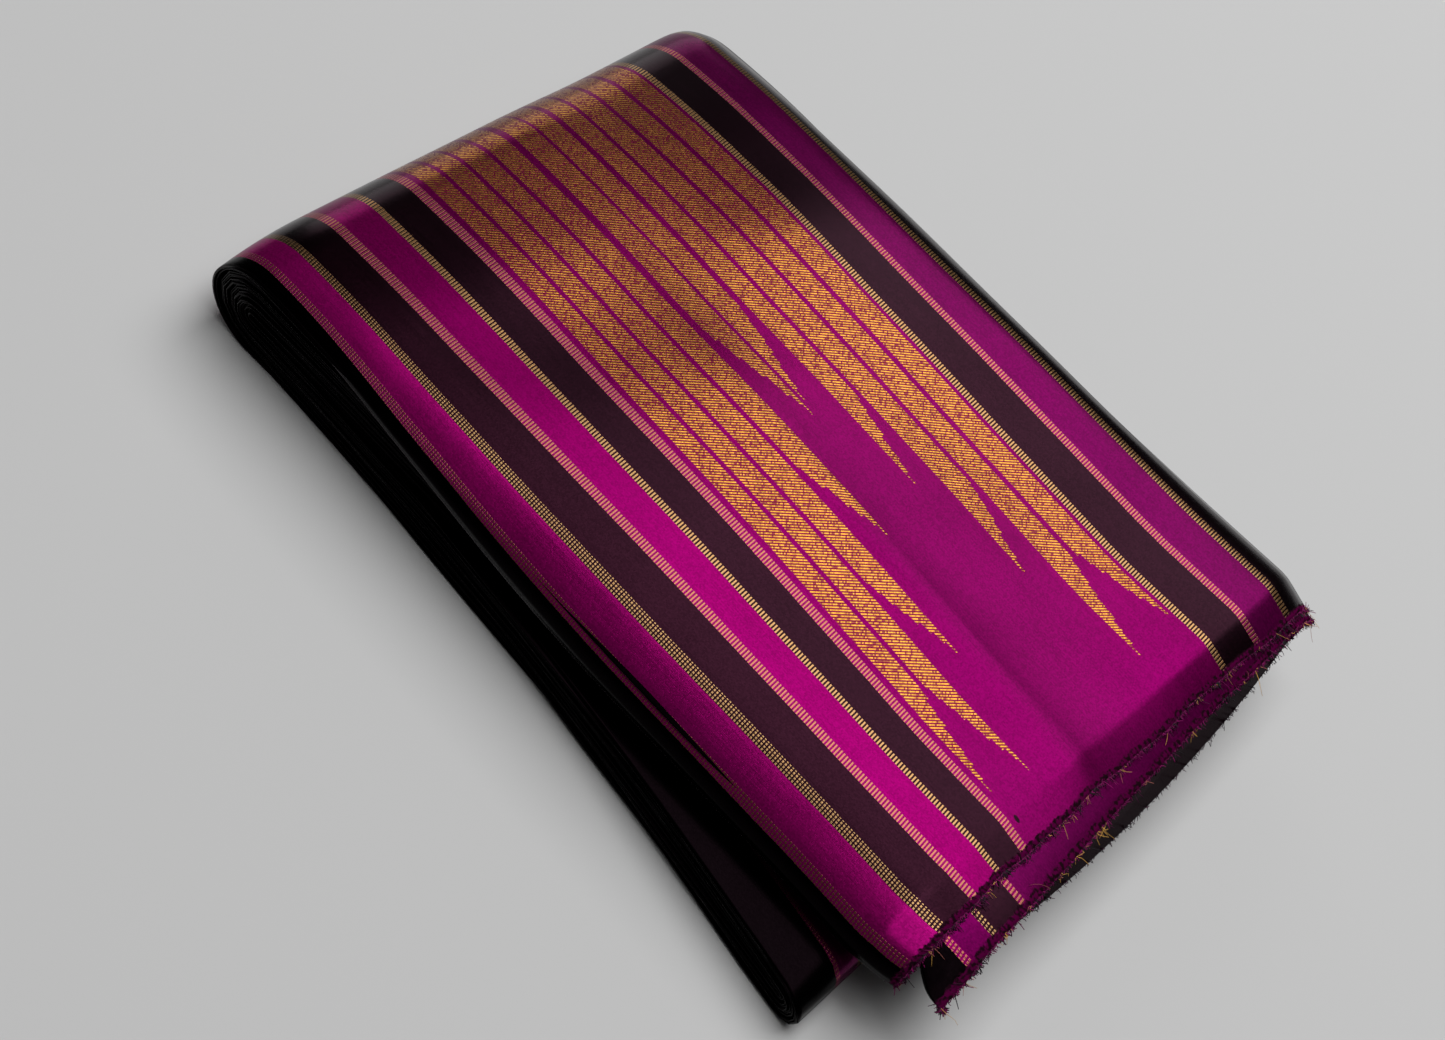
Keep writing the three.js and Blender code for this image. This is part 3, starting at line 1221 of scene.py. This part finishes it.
@dataclass(frozen=True)
class SilkFinish:
    """Woven silk with warp stripes, metal lines and tapered rays, read from the cloth's places."""

    name: str = "striped_silk"
    width: float = 243.3
    hem: float = 20.0  # cloth on the left of the layer's own width
    whole_width: float = 265.0
    free_edge: float = -13.5  # the thin line along the free hem starts here
    length: float = 5093.0
    top_stripes: tuple[Stripe, ...] = (
        # painted shade: the hem that hangs over the shaded left side is painted a deeper black
        Stripe(-20.0, Ground.SHADE_BLACK),
        # painted sheen: up to the black stripe, the fuchsia on the left shoulder is painted brighter
        Stripe(-5.8, Ground.LIT_FUCHSIA, Zari.PINK_DOTS),
        Stripe(-2.0, Ground.LIT_FUCHSIA),
        Stripe(11.9, Ground.BLACK, Zari.GOLD_DOTS),
        Stripe(16.0, Ground.BLACK),
        Stripe(32.4, Ground.FUCHSIA, Zari.PINK_BARS),
        Stripe(36.1, Ground.FUCHSIA),
        Stripe(51.1, Ground.BLACK, Zari.GOLD_BARS),
        Stripe(54.4, Ground.BLACK),
        Stripe(69.0, Ground.FUCHSIA, Zari.PINK_BARS),
        Stripe(72.3, Ground.FIELD),
        Stripe(189.8, Ground.BLACK, Zari.GOLD_BARS),
        Stripe(193.1, Ground.BLACK),
        Stripe(208.1, Ground.FUCHSIA, Zari.PINK_BARS),
        Stripe(210.9, Ground.PURPLE_AND_SHADE),
        Stripe(226.2, Ground.BLACK, Zari.GOLD_BARS),
        Stripe(229.4, Ground.BLACK),
    )
    under_stripes: tuple[Stripe, ...] = (
        # painted shade: the left border of the lower layers and the plain length is painted a deeper
        # black
        Stripe(-20.0, Ground.SHADE_BLACK),
        Stripe(8.0, Ground.FUCHSIA, Zari.PINK_DOTS),
        # painted shade: here and after the pink bars, the lower layers' fuchsia is painted darker, as
        # purple
        Stripe(11.5, Ground.PURPLE_AND_SHADE),
        Stripe(23.0, Ground.BLACK, Zari.GOLD_DOTS),
        Stripe(26.5, Ground.BLACK),
        Stripe(41.0, Ground.FUCHSIA, Zari.PINK_BARS),
        Stripe(44.0, Ground.PURPLE_AND_SHADE),
        Stripe(232.0, Ground.BLACK),
    )
    pattern_end: float = 560.0  # where the end piece's pattern gives way to the plain length
    pattern_shift: float = -6.5  # added to the plain length's lanes, so its stripes lie to the right
    fan: RayFan = RayFan()
    gold: Colour = (0.275, 0.134, 0.016)
    ray_ground: Colour = (0.108, 0.003, 0.025)
    margin: Colour = (0.07, 0.001, 0.033)
    edge_line: Colour = (0.05, 0.04, 0.045)
    bar_pitch: float = 1.3
    bar_share: float = 0.52
    dot_pitch: float = 1.2
    dot_edge: Pair = (0.13, 0.23)
    bar_slant: float = -0.08
    end_margin: float = 2.2
    end_ragged: float = 3.6
    fray_mix: Pair = (0.44, 0.58)
    slub: Pair = (76.5, 10.5)  # a dark knot of yarn, its lane and place along
    slub_size: Pair = (0.8, 1.5)
    dark_end: float = 30.0
    lustre: float = 0.62
    black_lustre: float = 0.95
    gold_lustre: float = 0.95
    zari_lustre: float = 0.8
    roughness: float = 0.22
    gold_roughness: float = 0.16
    specular: float = 0.0
    black_below: float = 0.03  # grounds with less red than this count as black
    grain_side: float = 0.6
    relief: float = 0.18
    relief_strength: float = 0.3

    def stripe_stops(self, stripes: tuple[Stripe, ...], pick: int) -> list[tuple[float, Colour]]:
        """Lists the stops of one ramp over the stripes.

        Args:
            stripes: The stripes from the left.
            pick: 0 for the ground, 1 for the metal's colour, 2 for its bars and dots.

        Returns:
            Places from 0 to 1, and what holds from there on.
        """
        stops = []
        for stripe in stripes:
            colour, bars, dots = stripe.zari.value
            choice = (stripe.ground.value, colour, (bars, dots, 0.0))[pick]
            stops.append(((stripe.start + self.hem) / self.whole_width, choice))
        return stops

    def by_layer(self, at: ClothSpot, plain: Wire, pick: int) -> Wire:
        """Reads a stripe ramp of the end piece, or of the plain length and the lower layers.

        Args:
            at: The place on the cloth.
            plain: 1 on the plain length and the lower layers, else 0.
            pick: Which of the stripes' values is wanted.

        Returns:
            The value there, as a colour.
        """
        place = (at.lane + self.hem) / self.whole_width
        top, low = (at.graph.ramp(place, self.stripe_stops(stripes, pick))
                    for stripes in (self.top_stripes, self.under_stripes))
        return at.graph.blend(plain, top, low)

    def zari_mask(self, at: ClothSpot, kind: Wire) -> Wire:
        """Draws the metal lines: bars across the warp, cut into columns where they are dots.

        Args:
            at: The place on the cloth.
            kind: Bars and dots of the stripe, in the first two numbers.

        Returns:
            1 on the metal yarn, 0 between.
        """
        graph, lane, along = at
        bars_here, dots_here, _ = graph.split(kind)
        bar = ((lane * self.bar_slant + along) / self.bar_pitch).swing()
        column = (lane / self.dot_pitch).swing()
        half_gap = (1.0 - self.bar_share) / 2
        bars = graph.step(bar, half_gap - 0.05, half_gap + 0.05)
        dots = graph.step(column, *self.dot_edge).most(1.0 - dots_here)
        return bars * dots * bars_here

    def ray_mask(self, at: ClothSpot) -> Wire:
        """Draws the rays: bands with one straight edge, and one that tapers by uneven notches.

        A ray's width grows evenly from its tip. On the notched side the growth goes by uneven
        steps, each leaning back a little.

        Args:
            at: The place on the cloth.

        Returns:
            1 inside a ray, 0 outside.
        """
        graph, lane, along = at
        fan = self.fan
        starts = [start / self.width for start in fan.starts()]
        blank = (0.0, (0.0, 0.0, 0.0))
        sizes = [(ray.left / self.width, (ray.right - ray.left) / fan.widest, float(ray.notched_right))
                 for ray in fan.rays]
        reaches = [(ray.tip / fan.longest, ray.taper / fan.longest, (k + 1) / len(fan.rays))
                   for k, ray in enumerate(fan.rays)]
        place = lane / self.width
        left, band, notched_right = graph.split(graph.ramp(place, [blank, *zip(starts, sizes)]))
        tip, taper, number = graph.split(graph.ramp(place, [blank, *zip(starts, reaches)]))
        band = band * fan.widest
        from_left = (place - left) * self.width
        from_right = band - from_left
        across = (from_left - from_right) * notched_right + from_right
        grown = along.least(2.0 * fan.mirror_line - along) - tip * fan.longest
        steps = grown / fan.notch
        whole = steps.floor()
        uneven = graph.chance(graph.vector(number * 97.0, whole, 3.0))
        lean = (steps - whole) * fan.notch_lean + uneven * fan.notch_chance
        notched = (whole + lean) * (fan.notch / fan.longest)
        outer = ((notched / taper).least(1.0) * band).most(fan.thinnest)
        inside = graph.step(outer - across, -0.1, 0.1)
        straight = graph.step(across, -0.1, 0.1)
        return inside * straight * (grown > 0.0) * (band > 1.0)

    def twill(self, at: ClothSpot) -> tuple[Wire, Wire]:
        """Draws the slanted lines of the ray's weave, with dropped stitches.

        Args:
            at: The place on the cloth.

        Returns:
            1 on the metal yarn and 0 between, and a chance number for each stitch.
        """
        graph, lane, along = at
        fan = self.fan
        line = (lane * fan.twill_slant + along) / fan.twill_pitch
        stitch = ((lane - along) / fan.stitch).floor()
        spark = graph.chance(graph.vector(stitch, line.floor()))
        yarn = graph.step(line.swing(), *fan.yarn_edge)
        return yarn - graph.step(spark, *fan.dropped) * 0.6, spark

    def tone(self, at: ClothSpot) -> tuple[Wire, Wire, Wire]:
        """Uneven dye and yarn.

        Args:
            at: The place on the cloth.

        Returns:
            The brightness, about 1, the streaks along the warp, and the grain of the weave.
        """
        streak = at.noise(1.7, 0.035, 3.0)
        cloud = at.noise(0.05, 0.03)
        grain = at.chance(self.grain_side)
        return streak * 0.5 + cloud * 0.35 + grain * 0.36 + 0.39, streak, grain

    def material(self) -> bpy.types.Material:
        """Builds the silk's material: grounds, rays, metal lines, cut ends, then the surface.

        Returns:
            The material.
        """
        graph = FinishGraph(self.name)
        lane, along, layer = graph.parts(CLOTH_PLACE)
        past_end = along > self.pattern_end
        plain = (layer > 0.5).most(past_end)
        at = ClothSpot(graph, past_end * self.pattern_shift + lane, along)
        jagged = ClothSpot(graph, at.lane + (at.noise(0.15, 0.9) * 0.5 - 0.25), along)
        ground, metal, kind = (self.by_layer(jagged, plain, pick) for pick in range(3))
        tone, streak, grain = self.tone(at)
        ray = self.ray_mask(jagged) * (1.0 - plain)
        weave, spark = self.twill(at)
        glint = at.noise(0.16, 0.16, 4.0)
        gold = graph.scaled(self.gold, glint * 1.1 + 0.9 - spark * 0.9)
        woven = graph.blend(weave.most(0.0), self.ray_ground, gold)
        colour = graph.blend(ray, graph.scaled(ground, tone), woven)
        zari = self.zari_mask(at, kind)
        colour, whole = self.cut_ends(at, graph.blend(zari, colour, metal))
        free = (at.lane < self.free_edge) * (1.0 - plain)
        metal_ray = ray * (weave * 0.85 + 0.15)
        black = (graph.split(ground)[0] < self.black_below) * (1.0 - zari)
        shine = metal_ray * (self.gold_lustre - self.lustre) + self.lustre
        shine = shine + zari * (self.zari_lustre - self.lustre)
        shine = shine + black * (self.black_lustre - self.lustre)
        dull = metal_ray * (self.gold_roughness - self.roughness) + self.roughness
        graph.finish(
            Base_Color=graph.blend(free, colour, self.edge_line),
            Metallic=shine * whole,
            Roughness=dull + (streak * 0.08 - 0.04),
            Specular_IOR_Level=self.specular,
        )
        raised = zari * 0.8 + metal_ray * 0.4 + streak * 0.35 + grain * 0.12
        graph.emboss(raised, self.relief, self.relief_strength)
        return graph.material

    def cut_ends(self, at: ClothSpot, colour: Wire) -> tuple[Wire, Wire]:
        """Frays the first end's colours into a ragged dark margin, and darkens the other end.

        Args:
            at: The place on the cloth.
            colour: The colour so far.

        Returns:
            The colour, and 1 where the weave is whole.
        """
        graph, lane, along = at
        black = Ground.BLACK.value
        fray = at.noise(0.6, 0.6, 4.0)
        reach = fray * self.end_ragged + (self.end_margin - self.end_ragged / 2)
        whole = graph.step(along - reach, -0.4, 0.4)
        frayed = graph.blend(graph.step(fray, *self.fray_mix), self.margin, black)
        colour = graph.blend(whole, frayed, colour)
        beside = (lane - self.slub[0]) / self.slub_size[0]
        past = (along - self.slub[1]) / self.slub_size[1]
        colour = graph.blend(graph.step(beside * beside + past * past, 1.3, 0.7), colour, black)
        dark_from = self.length - self.dark_end
        return graph.blend(graph.step(along, dark_from, dark_from + 1.0), colour, black), whole


@dataclass(frozen=True)
class YarnFinish:
    """Loose silk and metal yarn, coloured yarn by yarn."""

    name: str = "loose_yarn"
    roughness: float = 0.6
    specular: float = 0.15
    twist: float = 2600.0  # turns of the yarn's grain in a metre

    def material(self) -> bpy.types.Material:
        """Builds the material: each yarn's own colour, with a fine twist along it.

        Returns:
            The material.
        """
        graph = FinishGraph(self.name)
        tone = graph.vector(*graph.parts(YARN_TONE))
        twist = graph.noise(graph.scaled(graph.object_place(), self.twist))
        graph.finish(
            Base_Color=graph.scaled(tone, twist * 0.7 + 0.65),
            Roughness=self.roughness,
            Specular_IOR_Level=self.specular,
        )
        return graph.material


@dataclass(frozen=True)
class SoftLight:
    """A studio light panel aimed at the sari: its place, its width and height and its power."""

    name: str
    place: Triple
    width: float
    height: float
    watts: float


@dataclass
class Studio:
    """The pale floor, the soft lights and the camera."""

    axes: SariAxes
    floor_side: float = 9000.0
    floor_drop: float = 0.2
    floor_colour: Colour = (0.52, 0.52, 0.52)
    floor_mottle: float = 1.02
    floor_roughness: float = 0.9
    floor_specular: float = 0.1
    sky: float = 0.038
    eye: Triple = (-609.1, -236.4, 753.2)
    aim: Triple = (-37.35, -9.59, 20.0)
    up: Triple = (0.4489, 0.6928, 0.5643)
    lens: float = 67.74
    sensor: float = 36.0
    lights: tuple[SoftLight, ...] = (
        SoftLight("key", (1300.0, -75.0, 2922.0), 2600.0, 3400.0, 116.0),
        SoftLight("rim", (2450.0, 2810.0, 1140.0), 2000.0, 2000.0, 18.0),
        SoftLight("overhead", (-500.0, -700.0, 2850.0), 1500.0, 1500.0, 15.0),
    )

    def floor(self) -> bpy.types.Object:
        """Lays the pale floor just under the sari.

        Returns:
            The floor.
        """
        half = self.floor_side / 2
        corners = np.array([[-half, -half], [half, -half], [half, half], [-half, half]])
        points = np.column_stack([corners, np.full(4, -self.floor_drop)])
        floor = new_mesh("floor", self.axes.to_frame(points), [[0, 1, 2, 3]])
        graph = FinishGraph("pale_floor")
        mottle = graph.noise(graph.object_place())
        lighter = tuple(min(1.0, part * self.floor_mottle) for part in self.floor_colour)
        graph.finish(
            Base_Color=graph.blend(mottle, self.floor_colour, lighter),
            Roughness=self.floor_roughness,
            Specular_IOR_Level=self.floor_specular,
        )
        floor.data.materials.append(graph.material)
        return floor

    def light(self, lamp: SoftLight) -> bpy.types.Object:
        """Sets up one soft light, turned to the middle of the sari.

        Args:
            lamp: The light's place, size and power.

        Returns:
            The light.
        """
        data = bpy.data.lights.new(lamp.name, "AREA")
        data.shape = "RECTANGLE"
        data.size = lamp.width * METRES
        data.size_y = lamp.height * METRES
        data.energy = lamp.watts
        thing = linked(lamp.name, data)
        place, aim = (Vector(self.axes.to_frame(spot)) for spot in (lamp.place, (0.0, 0.0, 0.0)))
        thing.location = place
        thing.rotation_euler = (aim - place).to_track_quat("-Z", "Y").to_euler()
        return thing

    def sky_light(self) -> None:
        """Fills the room with a weak even light."""
        world = bpy.data.worlds.new("room")
        world.use_nodes = True
        background = world.node_tree.nodes["Background"]
        background.inputs["Color"].default_value = (1.0, 1.0, 1.0, 1.0)
        background.inputs["Strength"].default_value = self.sky
        bpy.context.scene.world = world

    def camera(self) -> bpy.types.Object:
        """Stands the camera at the photograph's place, rolled as it was held.

        Returns:
            The camera.
        """
        data = bpy.data.cameras.new("camera")
        data.sensor_fit = "HORIZONTAL"
        data.sensor_width = self.sensor
        data.lens = self.lens
        data.clip_start = 0.01
        eye, aim = (Vector(self.axes.to_frame(spot)) for spot in (self.eye, self.aim))
        back = (eye - aim).normalized()
        right = Vector(self.up).cross(back).normalized()
        up = back.cross(right)
        turn = Matrix((right, up, back)).transposed().to_4x4()
        camera = linked("camera", data)
        camera.matrix_world = Matrix.Translation(eye) @ turn
        bpy.context.scene.camera = camera
        return camera

    def set_up(self) -> bpy.types.Object:
        """Sets up the floor, the lights and the camera.

        Returns:
            The floor.
        """
        bpy.context.scene.view_settings.view_transform = "Standard"
        self.camera()
        self.sky_light()
        for lamp in self.lights:
            self.light(lamp)
        return self.floor()


def main() -> None:
    """Builds the sari, its loose yarn and the studio, in that order."""
    logging.basicConfig(level=logging.INFO, format="%(name)s: %(message)s")
    plan = FoldPlan()
    axes = SariAxes.from_frame(plan)
    studio = Studio(axes)
    floor = studio.set_up()
    cloth = SariCloth(plan, SettledStack(plan))
    sheet = cloth.build(axes)
    sheet.data.materials.append(SilkFinish().material())
    LOG.info("%s: %d faces, %.0f mm of strip", sheet.name, len(sheet.data.polygons), cloth.line.along[-1])
    yarn = YarnEnds(cloth).build(axes)
    yarn.data.materials.append(YarnFinish().material())
    LOG.info("%s: %d faces", yarn.name, len(yarn.data.polygons))
    for piece in (sheet, yarn):
        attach(piece, BODY)
    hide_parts(CLOTH_NODE)


if __name__ == "__main__":
    main()
